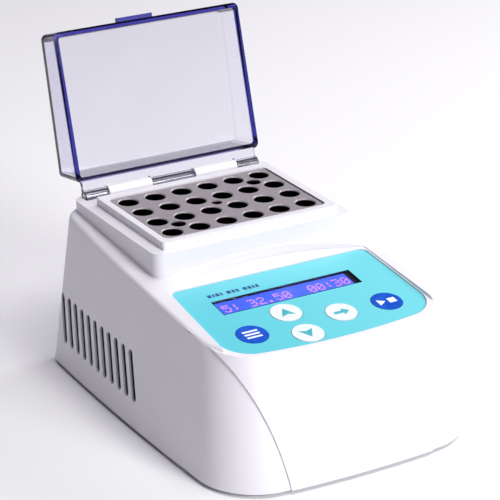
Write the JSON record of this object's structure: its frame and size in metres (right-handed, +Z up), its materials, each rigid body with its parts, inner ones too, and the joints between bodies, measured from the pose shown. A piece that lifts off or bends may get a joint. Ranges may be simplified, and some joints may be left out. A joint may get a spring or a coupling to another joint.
{
  "type": "dry block heater",
  "caption": "Small wedge-shaped bench heater: aluminium tube block in a raised deck under a clear hinged lid, with a sloping key panel, display, side vents and rear inlet and switch",
  "frame": {"origin": "On the table under the middle of the footprint: the plane of the rubber feet's undersides, midway between the housing's front and rear lower edges and on its middle plane", "axes": "+X to the right seen from the front, +Y to the back, +Z up; the control panel faces -Y and up, and the lid hinge lies along X at the back"},
  "size_m": [0.1146, 0.179, 0.1345],
  "materials": {
    "housing_plastic": "fine moulded satin white",
    "base_plastic": "moulded white",
    "foot_rubber": "matt black rubber",
    "screw_steel": "bright zinc",
    "lid_clear": "clear polished plastic with a faint violet tint",
    "block_aluminium": "fine blasted and anodised",
    "heater_silicone": "red silicone rubber",
    "insulation": "pale felted fibre",
    "tray_steel": "plain sheet",
    "black_plastic": "moulded black",
    "overlay_film": "satin printed film, turquoise",
    "window_clear": "clear polished",
    "display_face": "lit blue display",
    "key_blue": "satin printed film, blue",
    "key_white": "satin printed film, white",
    "board_green": "green solder mask",
    "capacitor_sleeve": "dark blue sleeve",
    "terminal_plastic": "green moulding",
    "ribbon_grey": "grey ribbon",
    "blade_brass": "stamped brass",
    "lead_red": "red insulation"
  },
  "bodies": {
    "base": {"upper_housing": "housing_plastic", "base_cover": "base_plastic", "rubber_feet": "foot_rubber", "base_screws": "screw_steel", "hinge_pin": "screw_steel", "heat_block": "block_aluminium", "block_screws": "screw_steel", "heater_plate": "block_aluminium", "film_heater": "heater_silicone", "insulation_pad": "insulation", "insulation_collar": "insulation", "heater_tray": "tray_steel", "tray_screws": "screw_steel", "temperature_probe": "screw_steel", "thermal_cutoff": "black_plastic", "membrane_overlay": "overlay_film", "display_window": "window_clear", "display_module": "display_face", "keypad_board": "board_green", "tact_switches": "black_plastic", "keypad_screws": "screw_steel", "main_board": "board_green", "main_board_screws": "screw_steel", "power_heatsink": "block_aluminium", "capacitors": "capacitor_sleeve", "terminal_block": "terminal_plastic", "controller_chip": "black_plastic", "ribbon_headers": "black_plastic", "ribbon_cable": "ribbon_grey", "dc_inlet": "black_plastic", "inlet_nut": "screw_steel", "switch_body": "black_plastic", "switch_blades": "blade_brass", "heater_leads": "lead_red", "supply_leads": "lead_red"},
    "lid": {"lid": "lid_clear"},
    "key_program": {"key_program": "key_blue"},
    "key_up": {"key_up": "key_white"},
    "key_down": {"key_down": "key_white"},
    "key_right": {"key_right": "key_white"},
    "key_start": {"key_start": "key_blue"},
    "rocker": {"rocker": "black_plastic"}
  },
  "joints": [
    {"name": "lid_hinge", "type": "hinge", "parent": "base", "child": "lid", "pos_m": [0, 0.07075, 0.0692], "axis": [1, 0, 0], "range_deg": [0, 107]},
    {"name": "program_key_press", "type": "slide", "parent": "base", "child": "key_program", "axis": [0, 0.1369, -0.9906], "range_m": [0, 0.0003], "stiffness_N_per_m": 2000},
    {"name": "up_key_press", "type": "slide", "parent": "base", "child": "key_up", "axis": [0, 0.1369, -0.9906], "range_m": [0, 0.0003], "stiffness_N_per_m": 2000},
    {"name": "down_key_press", "type": "slide", "parent": "base", "child": "key_down", "axis": [0, 0.1369, -0.9906], "range_m": [0, 0.0003], "stiffness_N_per_m": 2000},
    {"name": "right_key_press", "type": "slide", "parent": "base", "child": "key_right", "axis": [0, 0.1369, -0.9906], "range_m": [0, 0.0003], "stiffness_N_per_m": 2000},
    {"name": "start_key_press", "type": "slide", "parent": "base", "child": "key_start", "axis": [0, 0.1369, -0.9906], "range_m": [0, 0.0003], "stiffness_N_per_m": 2000},
    {"name": "power_rocker", "type": "hinge", "parent": "base", "child": "rocker", "pos_m": [0.024, 0.07252, 0.0194], "axis": [1, 0, 0], "range_deg": [-14, 0]}
  ]
}
